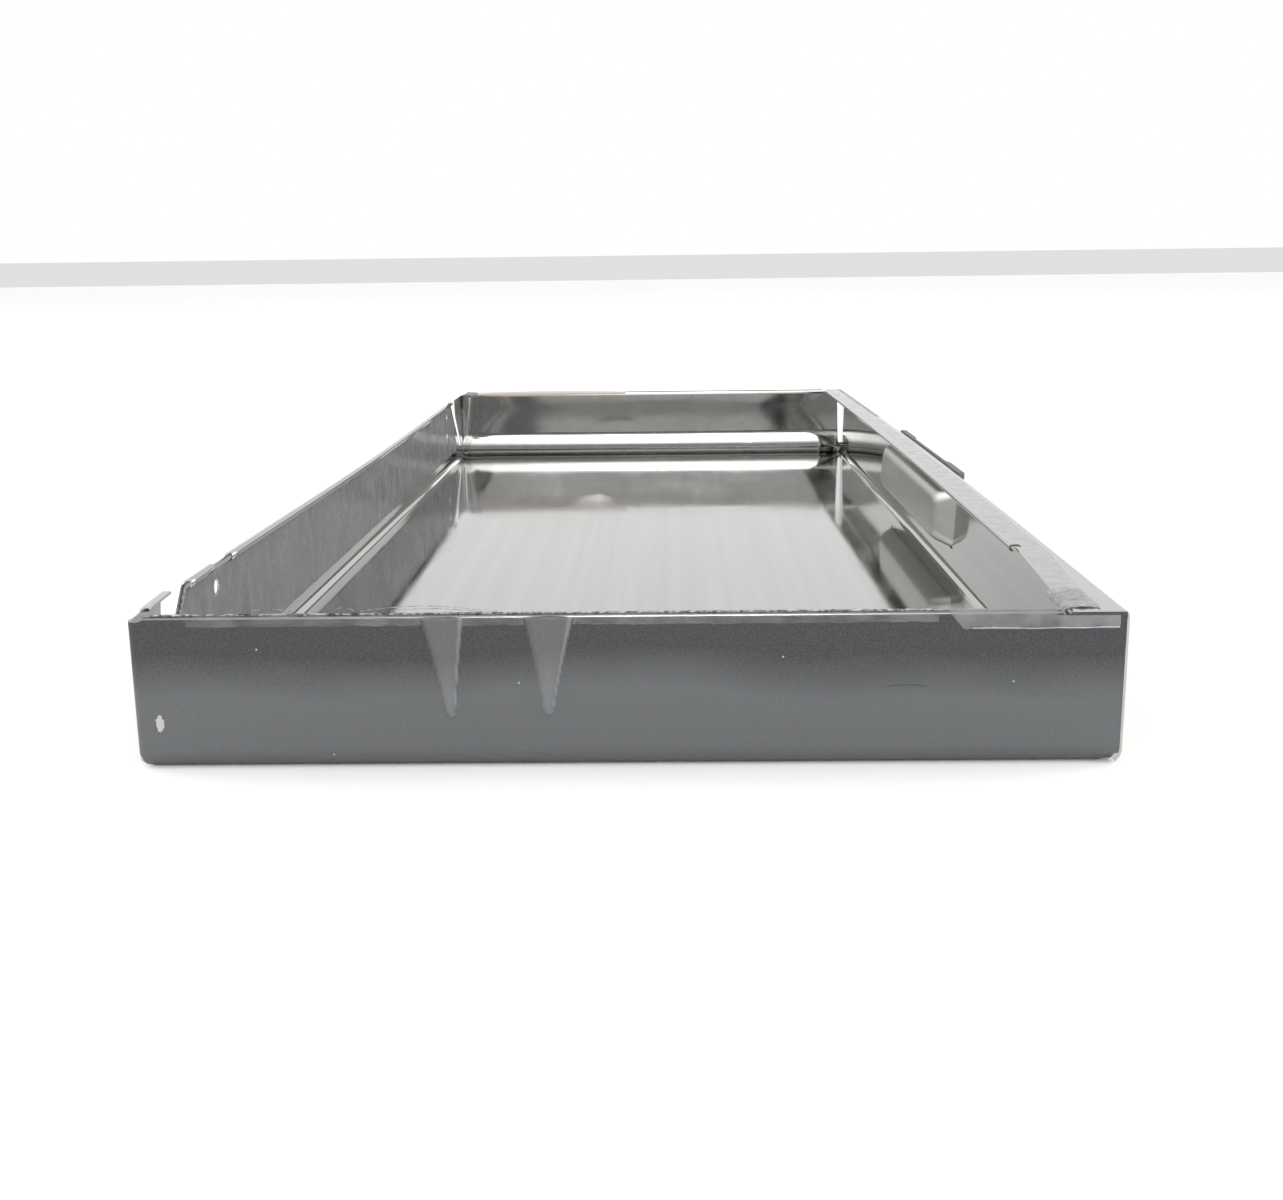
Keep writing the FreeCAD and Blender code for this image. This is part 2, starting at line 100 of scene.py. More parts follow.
def slice_at(bm, axis, spots):
    """Cuts a mesh along planes across an axis."""
    normal = Vector([1.0 if k == axis else 0.0 for k in range(3)])
    for spot in spots:
        everything = bm.verts[:] + bm.edges[:] + bm.faces[:]
        bmesh.ops.bisect_plane(bm, geom=everything, dist=1e-7, plane_co=normal * spot, plane_no=normal)


def refine(bm, step):
    """Divides flat panels into cells small enough to follow a gentle wave."""
    for axis in range(3):
        low = min(v.co[axis] for v in bm.verts)
        high = max(v.co[axis] for v in bm.verts)
        count = max(int((high - low) / step), 1)
        slice_at(bm, axis, [low + (high - low) * k / count for k in range(1, count)])


def round_bend(bm, axis, edge, radius):
    """Cuts the bend beside an edge of the pan finely and sets its points on the true arc."""
    inwards = -1 if edge > 0 else 1
    centre = edge + inwards * radius
    steep = 0.8
    steps = [math.radians(a) for a in range(6, 90, 6)]
    # Upright planes cut its lower part cleanly, and level planes its upper part.
    slice_at(bm, axis, [centre - inwards * radius * math.cos(a) for a in steps if a > steep])
    slice_at(bm, 2, [radius - radius * math.sin(a) for a in steps if a <= steep])
    other = WIDTH / 2 - SIDE_BEND if axis == 1 else LENGTH / 2 - BACK_BEND
    for v in bm.verts:
        out, up = (v.co[axis] - centre) * -inwards, radius - v.co.z
        if out > 0 and up > 0 and abs(v.co[1 - axis]) < other:
            reach = math.hypot(out, up)
            true = min((radius, radius - SHEET), key=lambda r: abs(r - reach))
            if abs(true - reach) < 0.25 * MM:
                v.co[axis] = centre - inwards * out * true / reach
                v.co.z = radius - up * true / reach


def put(name, mesh, material, replaced=()):
    """Makes the finished piece from its mesh, gives it its material and hands it to the frame."""
    piece = bpy.data.objects.new(name, mesh)
    bpy.context.scene.collection.objects.link(piece)
    mesh.materials.clear()
    mesh.materials.append(material)
    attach(piece, "root")
    if replaced:
        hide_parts(*replaced)
    return piece


def sheet_metal(name, node, material, bends=()):
    """A folded sheet: the design's own shape, welded, divided finely and settled into gentle waves."""
    bm = bmesh.new()
    bm.from_mesh(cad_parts[node].data)
    bmesh.ops.remove_doubles(bm, verts=bm.verts[:], dist=0.002 * MM)
    bmesh.ops.dissolve_limit(bm, angle_limit=math.radians(0.3), verts=bm.verts[:], edges=bm.edges[:])
    refine(bm, CELL)
    for axis, edge, radius in bends:
        round_bend(bm, axis, edge, radius)
    for v in bm.verts:
        v.co = settle(v.co)
    mesh = bpy.data.meshes.new(name)
    bm.to_mesh(mesh)
    bm.free()
    mesh.shade_smooth()
    mesh.set_sharp_from_angle(angle=math.radians(38))
    return put(name, mesh, material, (node,))


def colour(code):
    """Linear RGBA of an sRGB hex code."""
    values = [int(code[k:k + 2], 16) / 255 for k in (1, 3, 5)]
    return [v / 12.92 if v <= 0.04045 else ((v + 0.055) / 1.055) ** 2.4 for v in values] + [1.0]


def add_node(tree, kind, inputs=None, **settings):
    """Adds a node. inputs maps a socket's name or number to a value, or to another node's output."""
    made = tree.nodes.new(kind)
    for key, value in settings.items():
        setattr(made, key, value)
    for key, value in (inputs or {}).items():
        if isinstance(value, bpy.types.NodeSocket):
            tree.links.new(value, made.inputs[key])
        else:
            made.inputs[key].default_value = value
    return made


def new_material(name):
    """An empty material with its output, and the object coordinates that every pattern here reads."""
    mat = bpy.data.materials.new(name)
    mat.use_nodes = True
    tree = mat.node_tree
    tree.nodes.clear()
    out = add_node(tree, "ShaderNodeOutputMaterial")
    place = add_node(tree, "ShaderNodeTexCoord").outputs["Object"]
    return mat, tree, out, place


def pattern(tree, place, size, detail=2.0, turn=0.0):
    """Noise whose features measure size = (x, y, z) in metres."""
    scaled = add_node(tree, "ShaderNodeMapping", {"Vector": place, "Rotation": (0, 0, turn),
                                                  "Scale": [1 / s for s in size]})
    return add_node(tree, "ShaderNodeTexNoise", {"Vector": scaled.outputs[0], "Scale": 1.0,
                                                 "Detail": detail}).outputs[0]


def between(tree, value, low, high, to_low, to_high):
    """Maps a value from one range to another, clamped."""
    return add_node(tree, "ShaderNodeMapRange", {0: value, 1: low, 2: high, 3: to_low, 4: to_high}).outputs[0]


def maths(tree, kind, a, b=0.0, c=0.0):
    return add_node(tree, "ShaderNodeMath", {0: a, 1: b, 2: c}, operation=kind).outputs[0]


def blend(tree, factor, first, second):
    """Mixes two colours: factor 0 gives the first, 1 the second."""
    return add_node(tree, "ShaderNodeMix", {0: factor, 6: first, 7: second}, data_type="RGBA").outputs[2]


# Cold-rolled steel. The rolls leave it near a mirror, with long soft streaks the way the coil ran,
# which is along the tray; handling leaves dull smudges and a few dried drops. smooth and dulled are
# its roughness between the smudges and in them.
def rolled_steel(name, smooth, dulled):
    mat, tree, out, place = new_material(name)
    streak = pattern(tree, place, (7 * MM, 600 * MM, 7 * MM), 3.0)
    smudge = pattern(tree, place, (45 * MM, 70 * MM, 30 * MM), 4.0)
    drops = pattern(tree, place, (9 * MM, 12 * MM, 9 * MM), 2.0)
    tone = blend(tree, between(tree, streak, 0.35, 0.65, 0.0, 1.0), colour("#b9b8b6"), colour("#b2b1af"))
    stained = blend(tree, between(tree, drops, 0.70, 0.76, 0.0, 0.3), tone, colour("#8d8b87"))
    rough = between(tree, smudge, 0.35, 0.65, smooth, dulled)
    # Rolling lines are about 0.05 mm apart, too fine to show, so they are drawn 0.8 mm apart.
    lines = pattern(tree, place, (0.8 * MM, 90 * MM, 0.8 * MM), 2.0)
    relief = add_node(tree, "ShaderNodeBump", {"Strength": 0.03, "Distance": 0.005 * MM, "Height": lines})
    steel = add_node(tree, "ShaderNodeBsdfPrincipled", {
        "Base Color": stained, "Metallic": 1.0, "Roughness": rough, "Normal": relief.outputs[0]})
    tree.links.new(steel.outputs[0], out.inputs[0])
    return mat


def surface_of(*pieces):
    """A search tree over finished pieces, for laying film on them."""
    bm = bmesh.new()
    for piece in pieces:
        bm.from_mesh(piece.data)
    tree = BVHTree.FromBMesh(bm)
    bm.free()
    return tree


steel = rolled_steel("steel_cold_rolled_bright", 0.05, 0.085)
pan = sheet_metal("pan", "tray_pan", steel, (
    (1, FRONT, FRONT_BEND), (1, BACK, BACK_BEND), (0, LEFT, SIDE_BEND), (0, RIGHT - SHEET, SIDE_BEND)))
pan_surface = surface_of(pan)

# ------------------------------------------------------------------------------ side fascia
# A second sheet of the same steel over the right wall. Its top is turned inwards as a flange with a
# curled edge, and its foot wraps under the pan; its front edge is folded flat.
fascia = sheet_metal("fascia", "side_fascia", steel)
fascia_surface = surface_of(fascia)

# ------------------------------------------------------------------------------ pull cup
# A pocket for the fingers, pressed from sheet in one stroke, so every edge is a soft radius. Its flat
# frame lies on the fascia's outside and the pocket stands into the tray.
CUP_LOW, CUP_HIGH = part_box("pull_cup")
CUP_SHEET = 0.8 * MM
CUP_FRAME = 5 * MM
CORNER_STEPS = 8


def rounded_ring(half, low, high, corner, x):
    """A rounded rectangle in the plane x, centred on y = 0."""
    corner = min(corner, (high - low) * 0.49)
    ring = []
    for y, z, start in ((half - corner, high - corner, 0), (corner - half, high - corner, 90),
                        (corner - half, low + corner, 180), (half - corner, low + corner, 270)):
        for k in range(CORNER_STEPS + 1):
            a = math.radians(start + 90 * k / CORNER_STEPS)
            ring.append(Vector((x, y + corner * math.cos(a), z + corner * math.sin(a))))
    return ring


def loft(rings, cap_first=False, cap_last=False):
    """Skins closed rings of equal count, one after another, and closes the ends that are asked for."""
    bm = bmesh.new()
    rows = [[bm.verts.new(co) for co in ring] for ring in rings]
    for low, high in zip(rows, rows[1:]):
        for k in range(len(low)):
            n = (k + 1) % len(low)
            bm.faces.new((low[k], low[n], high[n], high[k]))
    if cap_first:
        bm.faces.new(rows[0][::-1])
    if cap_last:
        bm.faces.new(rows[-1])
    return bm


def bm_to_mesh(name, bm, smooth_angle=40):
    bmesh.ops.recalc_face_normals(bm, faces=bm.faces[:])
    mesh = bpy.data.meshes.new(name)
    bm.to_mesh(mesh)
    bm.free()
    mesh.shade_smooth()
    mesh.set_sharp_from_angle(angle=math.radians(smooth_angle))
    return mesh


def pull_cup():
    frame_face = CUP_HIGH[0]
    half = CUP_HIGH[1] - CUP_FRAME
    low, high = CUP_LOW[2] + CUP_FRAME, CUP_HIGH[2] - CUP_FRAME + 1 * MM
    deep = CUP_LOW[0] + CUP_SHEET
    # Each entry: how far the ring has come in from the opening, at its depth below the frame's face.
    steps = [(-CUP_FRAME, -CUP_FRAME, 4 * MM, frame_face), (-0.8 * MM, -0.8 * MM, 4 * MM, frame_face),
             (-0.25 * MM, -0.25 * MM, 4 * MM, frame_face - 0.2 * MM), (0, 0, 4 * MM, frame_face - 0.8 * MM),
             (1.5 * MM, 0.5 * MM, 4 * MM, frame_face - 2.5 * MM),
             (7.5 * MM, 2.6 * MM, 5 * MM, deep + 2.4 * MM), (9.5 * MM, 3.4 * MM, 5 * MM, deep + 1.2 * MM),
             (11.5 * MM, 4.6 * MM, 5 * MM, deep + 0.4 * MM), (14.5 * MM, 6.2 * MM, 5 * MM, deep)]
    rings = [rounded_ring(half - side, low + up, high - up, corner, x) for side, up, corner, x in steps]
    bm = loft(rings, cap_last=True)
    for v in bm.verts:
        v.co = settle(v.co)
    # Pressing stretches the steel, which leaves it satin instead of bright.
    satin = rolled_steel("steel_pressed_satin", 0.36, 0.44)
    piece = put("cup", bm_to_mesh("cup", bm, 60), satin, ("pull_cup",))
    thick = piece.modifiers.new("sheet", "SOLIDIFY")
    thick.thickness = CUP_SHEET
    thick.offset = -1.0
    return piece


pull_cup()

# ------------------------------------------------------------------------------ pull lip
# A dark moulded strip along the top of the cup's frame, which the fingers close on. It is thin in
# the middle and thickens smoothly to a stop at each end.
LIP_LOW, LIP_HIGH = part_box("pull_lip")
LIP_THIN = 1.8 * MM
LIP_ROUND = 0.9 * MM


# Polypropylene, moulded with a fine spark texture, which gives it a soft even sheen.
def moulded_plastic():
    mat, tree, out, place = new_material("polypropylene_moulded_dark")
    grain = pattern(tree, place, (0.5 * MM,) * 3, 2.0)
    relief = add_node(tree, "ShaderNodeBump", {"Strength": 0.3, "Distance": 0.05 * MM, "Height": grain})
    tone = blend(tree, pattern(tree, place, (20 * MM,) * 3, 3.0), colour("#4b525a"), colour("#5d656e"))
    body = add_node(tree, "ShaderNodeBsdfPrincipled", {
        "Base Color": tone, "Roughness": 0.42, "IOR": 1.49, "Normal": relief.outputs[0]})
    tree.links.new(body.outputs[0], out.inputs[0])
    return mat


def pull_lip():
    thick = LIP_HIGH[0] - LIP_LOW[0]
    half = (LIP_HIGH[1] - LIP_LOW[1]) / 2
    rings = []
    count = 72
    for k in range(count + 1):
        y = LIP_HIGH[1] - 2 * half * k / count
        out = abs(1 - 2 * k / count)
        depth = LIP_THIN + (thick - LIP_THIN) * smooth_step(0.50, 0.60, out)
        shrink = 1 - 0.25 * smooth_step(0.985, 1.0, out)
        ring = []
        mid_z, half_z = (LIP_LOW[2] + LIP_HIGH[2]) / 2, (LIP_HIGH[2] - LIP_LOW[2]) / 2 * shrink
        for cx, cz, start in ((depth * shrink - LIP_ROUND, half_z - LIP_ROUND, 0), (0, half_z, 90),
                              (0, -half_z, 180), (depth * shrink - LIP_ROUND, LIP_ROUND - half_z, 270)):
            for s in range(7):
                a = math.radians(start + 15 * s)
                r = LIP_ROUND if cx else 0.0001 * MM
                x, z = LIP_LOW[0] + cx + r * math.cos(a), mid_z + cz + r * math.sin(a)
                ring.append(settle(Vector((x, y, z))))
        rings.append(ring)
    mesh = bm_to_mesh("lip", loft(rings, cap_first=True, cap_last=True), 50)
    put("lip", mesh, moulded_plastic(), ("pull_lip",))


pull_lip()

# ------------------------------------------------------------------------------ protective film, as a strip
# Steel sheet is delivered under a thin film, which was only partly peeled off this tray. Every
# remnant starts as a flat strip with torn edges and wrinkles, and is then laid on what it sticks to.


def film_strip_tree():
    """Geometry nodes for a flat strip: a grid whose long edges are torn and whose face is wrinkled."""
    tree = bpy.data.node_groups.new("film strip", "GeometryNodeTree")
    keys = {}
    for name, kind in (("Length", "Float"), ("Width", "Float"), ("Cells Along", "Int"),
                       ("Cells Across", "Int"), ("Tear High Edge", "Float"), ("Tear Low Edge", "Float"),
                       ("Tear Size", "Float"), ("Wrinkle", "Float"), ("Wrinkle Size", "Float"),
                       ("Seed", "Float"), ("Material", "Material")):
        socket = tree.interface.new_socket(name=name, in_out="INPUT", socket_type="NodeSocket" + kind)
        keys[name] = socket.identifier
    tree.interface.new_socket(name="Geometry", in_out="OUTPUT", socket_type="NodeSocketGeometry")
    given = add_node(tree, "NodeGroupInput").outputs

    grid = add_node(tree, "GeometryNodeMeshGrid", {"Size X": given["Length"], "Size Y": given["Width"],
                                                   "Vertices X": given["Cells Along"],
                                                   "Vertices Y": given["Cells Across"]})
    position = add_node(tree, "GeometryNodeInputPosition").outputs[0]
    spot = add_node(tree, "ShaderNodeSeparateXYZ", {0: position})
    across = maths(tree, "DIVIDE", maths(tree, "MULTIPLY", spot.outputs[1], 2.0), given["Width"])
    tears = []
    for sign, key, shift in ((1.0, "Tear High Edge", 0.0), (-1.0, "Tear Low Edge", 31.7)):
        side = maths(tree, "MAXIMUM", maths(tree, "MULTIPLY", across, sign), 0.0)
        towards = maths(tree, "POWER", side, 2.0)
        where = add_node(tree, "ShaderNodeCombineXYZ", {
            0: maths(tree, "DIVIDE", spot.outputs[0], given["Tear Size"]),
            1: maths(tree, "ADD", given["Seed"], shift)})
        ragged = add_node(tree, "ShaderNodeTexNoise", {
            "Vector": where.outputs[0], "Scale": 1.0, "Detail": 6.0, "Roughness": 0.75}).outputs[0]
        strength = maths(tree, "MULTIPLY", given[key], 2.0 * sign)
        pull = maths(tree, "MULTIPLY", maths(tree, "SUBTRACT", ragged, 0.5), strength)
        tears.append(maths(tree, "MULTIPLY", pull, towards))
    fold_at = add_node(tree, "ShaderNodeCombineXYZ", {
        0: maths(tree, "DIVIDE", spot.outputs[0], given["Wrinkle Size"]),
        1: maths(tree, "DIVIDE", spot.outputs[1], given["Wrinkle Size"]), 2: given["Seed"]})
    folds = add_node(tree, "ShaderNodeTexNoise", {
        "Vector": fold_at.outputs[0], "Scale": 1.0, "Detail": 3.0}).outputs[0]
    # Folding the noise about its middle gives sharp creases instead of soft bumps.
    crease = maths(tree, "ABSOLUTE", maths(tree, "SUBTRACT", folds, 0.5))
    height = maths(tree, "MULTIPLY", crease, maths(tree, "MULTIPLY", given["Wrinkle"], 4.0))
    shift = add_node(tree, "ShaderNodeCombineXYZ", {1: maths(tree, "ADD", *tears), 2: height})
    moved = add_node(tree, "GeometryNodeSetPosition", {
        "Geometry": grid.outputs["Mesh"], "Offset": shift.outputs[0]})
    real = add_node(tree, "GeometryNodeRealizeInstances", {0: moved.outputs[0]})
    painted = add_node(tree, "GeometryNodeSetMaterial", {
        "Geometry": real.outputs[0], "Material": given["Material"]})
    add_node(tree, "NodeGroupOutput", {0: painted.outputs[0]})
    return tree, keys


strip_tree, strip_keys = film_strip_tree()


CLEAR = 0.06 * MM           # how far film stands off the steel, so that the two never touch


def film(name, size, cell, lay, onto, material, replaced=(), tear=(0.0, 0.0), tear_size=8 * MM,
         wrinkle=0.0, wrinkle_size=7 * MM, seed=0.0, layer=1, thickness=0.05 * MM, pierced=None):
    """Makes a strip, drops each point of it from lay(along, across) onto a surface, and thickens it.

    lay gives a place just off the surface, and how far the strip has lifted there.
    """
    length, width = size
    maker = bpy.data.objects.new(name + "_flat", bpy.data.meshes.new(name + "_flat"))
    bpy.context.scene.collection.objects.link(maker)
    nodes = maker.modifiers.new("strip", "NODES")
    nodes.node_group = strip_tree
    for key, value in (("Length", length), ("Width", width), ("Cells Along", int(length / cell) + 2),
                       ("Cells Across", int(width / cell) + 2), ("Tear High Edge", tear[1]),
                       ("Tear Low Edge", tear[0]), ("Tear Size", tear_size), ("Wrinkle", wrinkle),
                       ("Wrinkle Size", wrinkle_size), ("Seed", seed), ("Material", material)):
        nodes[strip_keys[key]] = value
    bpy.context.view_layer.update()
    made = bpy.data.meshes.new_from_object(maker.evaluated_get(bpy.context.evaluated_depsgraph_get()))
    maker.modifiers.clear()
    bpy.data.objects.remove(maker)
    bm = bmesh.new()
    bm.from_mesh(made)
    bpy.data.meshes.remove(made)
    for v in bm.verts:
        v.co.x += length / 2
        v.co.y += width / 2
    if pierced:
        gone = [f for f in bm.faces if pierced(lay(*f.calc_center_median()[:2])[0])]
        bmesh.ops.delete(bm, geom=gone, context="FACES")
    for v in bm.verts:
        spot, lift = lay(v.co.x, v.co.y)
        spot = settle(spot)
        near = onto.find_nearest(spot)[0]
        v.co = near + (spot - near).normalized() * (layer * CLEAR + lift + v.co.z)
    mesh = bpy.data.meshes.new(name)
    bm.to_mesh(mesh)
    bm.free()
    mesh.shade_smooth()
    piece = put(name, mesh, material, replaced)
    thick = piece.modifiers.new("film", "SOLIDIFY")
    thick.thickness = thickness
    thick.offset = 1.0
    return piece


# ------------------------------------------------------------------------------ front wall film
# Milky grey film, still stuck to the whole outside of the front wall and round its left corner. Two
# tapering blisters have lifted below the rim, and one corner of it is punctured down to the steel.
OFF = 0.5 * MM              # strips are laid from this far off the steel
FILM_FOOT = math.radians(80)    # how far round the bottom bend the film reaches
FILM_TOP = 0.7 * MM         # how far below the rim's top it ends
CORNER = 2.7 * MM           # radius of the upright corner bend
# Each blister: its tip, and its left and right edge at the rim.
BLISTERS = ((-53 * MM, 16.0 * MM, -61.5 * MM, -48 * MM), (-23.5 * MM, 16.5 * MM, -30.5 * MM, -15 * MM))
BLISTER_RISE = 2.3 * MM
PUNCTURE = (-142.2 * MM, 14.6 * MM, 1.2 * MM, 2.6 * MM)     # its centre, half width and half height
SCRATCH_X, SCRATCH_TOP = 84.5 * MM, 25.3 * MM
SCRATCH_RADIUS, SCRATCH_HALF = 45 * MM, 6 * MM


# Polyethylene film, matt outside and milky with adhesive inside. It dulls the steel under it to a
# soft grey sheen with a fine grain and is paler where it has lifted off. Its upper part is darkened
# with painted shade, and a painted highlight runs along each blister's right edge.
def milky_film():
    mat, tree, out, place = new_material("polyethylene_film_milky")
    grain = pattern(tree, place, (0.6 * MM,) * 3, 3.0)
    cloud = pattern(tree, place, (70 * MM, 70 * MM, 30 * MM), 2.0)
    height = add_node(tree, "ShaderNodeSeparateXYZ", {0: place}).outputs[2]
    drift = between(tree, cloud, 0.3, 0.7, -3 * MM, 3 * MM)
    # Painted shade: the film is darkened above about 23 to 36 mm, in place of the dark surroundings that the
    # top of the wall reflects.
    painted_dark_top = between(tree, maths(tree, "ADD", height, drift), 23 * MM, 36 * MM, 0.0, 1.0)
    tone = blend(tree, painted_dark_top, colour("#5f6163"), colour("#3b3c3e"))
    grainy = blend(tree, between(tree, grain, 0.35, 0.65, 0.0, 0.12), tone, colour("#8c8e90"))
    # Paler where the film has lifted off, plus a painted highlight along each blister's right edge.
    lift_and_edge_highlight = add_node(tree, "ShaderNodeAttribute", attribute_name="lift_and_edge_highlight").outputs["Fac"]
    paler = blend(tree, between(tree, lift_and_edge_highlight, 0.0, 1.0, 0.0, 0.55), grainy, colour("#a2a4a6"))
    # One long arched scratch, and a few white specks of grit under the film.
    along = add_node(tree, "ShaderNodeSeparateXYZ", {0: place}).outputs[0]
    face = add_node(tree, "ShaderNodeCombineXYZ", {0: along, 1: height}).outputs[0]
    centre = add_node(tree, "ShaderNodeVectorMath", {
        0: face, 1: (SCRATCH_X, SCRATCH_TOP - SCRATCH_RADIUS, 0)}, operation="DISTANCE").outputs[1]
    on_arc = maths(tree, "COMPARE", centre, SCRATCH_RADIUS, 0.17 * MM)
    near = maths(tree, "COMPARE", along, SCRATCH_X, SCRATCH_HALF)
    scored = blend(tree, maths(tree, "MULTIPLY", on_arc, near), paler, colour("#454648"))
    grit = add_node(tree, "ShaderNodeTexVoronoi", {"Vector": face, "Scale": 1 / (55 * MM)},
                    voronoi_dimensions="2D").outputs["Distance"]
    dusted = blend(tree, between(tree, grit, 0.004, 0.007, 0.7, 0.0), scored, colour("#c4c5c6"))
    relief = add_node(tree, "ShaderNodeBump", {"Strength": 0.2, "Distance": 0.05 * MM, "Height": grain})
    body = add_node(tree, "ShaderNodeBsdfPrincipled", {
        "Base Color": dusted, "Metallic": 0.5, "Roughness": 0.45, "Normal": relief.outputs[0]})
    tree.links.new(body.outputs[0], out.inputs[0])
    return mat


def blister(x, z):
    """How far out the film stands at a place, 0 to 1, and how near its right edge the place is."""
    for tip_x, tip_z, low_x, high_x in BLISTERS:
        t = (z - tip_z) / (TOP - tip_z)
        if t <= 0:
            continue
        centre = tip_x + ((low_x + high_x) / 2 - tip_x) * t
        half = (high_x - low_x) / 2 * (0.2 * min(math.sqrt(t / 0.06), 1.0) + 0.8 * t ** 1.2)
        off = (x - centre) / half
        if abs(off) < 1:
            # This band near the blister's right edge drives a painted highlight line.
            right_edge_highlight = smooth_step(0.72, 0.84, off) * smooth_step(1.0, 0.9, off)
            return (0.35 + 0.65 * t) * (1 - abs(off) ** 3), right_edge_highlight
    return 0.0, 0.0


def front_film():
    wrap = CORNER * math.pi / 2 + 2 * MM
    foot = FRONT_BEND * FILM_FOOT
    size = (wrap + RIGHT - 0.8 * MM - (LEFT + CORNER), foot + TOP - FILM_TOP - FRONT_BEND)

    def lay(along, across):
        """Round the corner first, then along the wall; round the bottom bend first, then up."""
        turn = min(max((wrap - along) / CORNER, 0.0), math.pi / 2)
        back = max(wrap - along - CORNER * math.pi / 2, 0.0)
        z = FRONT_BEND + across - foot
        dip = max(SIDE_BEND + 0.5 * MM - z, 0.0)
        fit = 1 - (SIDE_BEND - math.sqrt(max(SIDE_BEND ** 2 - dip ** 2, 0.0))) / (size[0] - wrap)
        x = LEFT + CORNER - (CORNER + OFF) * math.sin(turn) + max(along - wrap, 0.0) * fit
        y = FRONT + CORNER - (CORNER + OFF) * math.cos(turn) + back
        if across < foot:
            a = (foot - across) / FRONT_BEND
            y += FRONT_BEND * (1 - math.cos(a))
            z = FRONT_BEND - (FRONT_BEND + OFF) * math.sin(a)
            x += min(CORNER * math.sin(a), CORNER) * (turn / (math.pi / 2))
        return Vector((x, y, z)), BLISTER_RISE * blister(x, z)[0]

    def from_puncture(co):
        """How far a place is from the puncture's ragged edge: below 1 is inside it."""
        across, up = (co.x - PUNCTURE[0]) / PUNCTURE[2], (co.z - PUNCTURE[1]) / PUNCTURE[3]
        ragged = 1 + 0.5 * noise.noise(Vector((math.atan2(up, across) * 2, 4, 0)))
        return math.hypot(across, up) / ragged

    def pierced(co):
        return from_puncture(co) < 1.25

    piece = film("front_film", size, 0.65 * MM, lay, surface_of(pan, fascia), milky_film(),
                 ("front_wall_film",), tear=(0.0, 0.3 * MM), wrinkle=0.04 * MM, wrinkle_size=26 * MM,
                 seed=2.0, pierced=pierced)
    for v in piece.data.vertices:
        away = from_puncture(v.co)
        if away < 2.0 and v.co.y < FRONT + 1 * MM:
            drawn = (1 + 0.4 * (away - 1.25) / 0.75) / away if away > 1.25 else 1 / away
            v.co.x = PUNCTURE[0] + (v.co.x - PUNCTURE[0]) * drawn
            v.co.z = PUNCTURE[1] + (v.co.z - PUNCTURE[1]) * drawn
    lift_and_edge_highlight = piece.data.attributes.new("lift_and_edge_highlight", "FLOAT", "POINT")
    for k, v in enumerate(piece.data.vertices):
        out, edge = blister(v.co.x, v.co.z) if v.co.y < FRONT + 1 * MM else (0.0, 0.0)
        # Real paleness where the film stands out, mixed with a painted highlight along the blister's right
        # edge.
        lift_and_edge_highlight.data[k].value = 0.4 * smooth_step(0.0, 0.3, out) + 0.6 * edge


front_film()

# ------------------------------------------------------------------------------ film on the rims
# Thin clear film, torn off along the rims. A ragged band still lies over the front rim, a longer
# patch hangs over its right end, and masking tape covers the left part of the back rim.


# Clear polyethylene film. It shows by its gloss, its wrinkles and its torn white edges.
def clear_film(name, tone, thin, thick):
    mat, tree, out, place = new_material(name)
    crinkle = pattern(tree, place, (6 * MM,) * 3, 3.0)
    relief = add_node(tree, "ShaderNodeBump", {"Strength": 0.3, "Distance": 0.2 * MM, "Height": crinkle})
    body = add_node(tree, "ShaderNodeBsdfPrincipled", {
        "Base Color": colour(tone), "Roughness": 0.2, "IOR": 1.5,
        "Alpha": between(tree, crinkle, 0.35, 0.65, thin, thick), "Normal": relief.outputs[0]})
    tree.links.new(body.outputs[0], out.inputs[0])
    return mat


# The same film where it has been stretched until it tore: crazed and half opaque, whitish, with dark patches
# that are painted shade.
def stretched_film():
    mat, tree, out, place = new_material("polyethylene_film_stretched_white")
    craze = pattern(tree, place, (1.6 * MM,) * 3, 4.0)
    # The dark end of this mix is painted shade on the thin torn strands; the whitish end is the film's own
    # tone.
    tone = blend(tree, between(tree, craze, 0.42, 0.58, 0.0, 1.0), colour("#35373a"), colour("#bcbec0"))
    body = add_node(tree, "ShaderNodeBsdfPrincipled", {
        "Base Color": tone, "Roughness": 0.3, "IOR": 1.5,
        "Alpha": between(tree, craze, 0.3, 0.7, 0.5, 0.9)})
    tree.links.new(body.outputs[0], out.inputs[0])
    return mat


# Crêpe masking tape: beige paper with fine cross ribs and a dull face.
def masking_tape():
    mat, tree, out, place = new_material("paper_masking_tape_beige")
    ribs = pattern(tree, place, (0.6 * MM, 6 * MM, 6 * MM), 2.0)
    tone = blend(tree, ribs, colour("#b9aca1"), colour("#cfc5bc"))
    relief = add_node(tree, "ShaderNodeBump", {"Strength": 0.4, "Distance": 0.08 * MM, "Height": ribs})
    body = add_node(tree, "ShaderNodeBsdfPrincipled", {
        "Base Color": tone, "Roughness": 0.75, "Normal": relief.outputs[0]})
    tree.links.new(body.outputs[0], out.inputs[0])
    return mat


clear = clear_film("polyethylene_film_clear", "#b4b6b8", 0.04, 0.14)
crumpled = clear_film("polyethylene_film_crumpled", "#adafb0", 0.35, 0.75)
patch_film = clear_film("polyethylene_film_patch", "#a9abad", 0.15, 0.34)
rolled_edge = clear_film("polyethylene_film_rolled_up", "#bcbec0", 0.45, 0.85)
white_edge, tape = stretched_film(), masking_tape()


def over_rim(start_x, face, inwards, drop, arch=0.0, length=1.0):
    """Lays a strip over an end wall's rolled rim, from drop below the top outside, over to the inside."""
    flat = drop - CURL

    def lay(along, across):
        lift = arch * math.sin(math.pi * min(along / length, 1.0))
        if across < flat:
            return Vector((start_x + along, face - inwards * OFF, TOP - drop + across)), lift
        a = (across - flat) / CURL
        reach = CURL + OFF
        return Vector((start_x + along, face + inwards * (CURL - reach * math.cos(a)),
                       TOP - CURL + reach * math.sin(a))), lift

    return lay


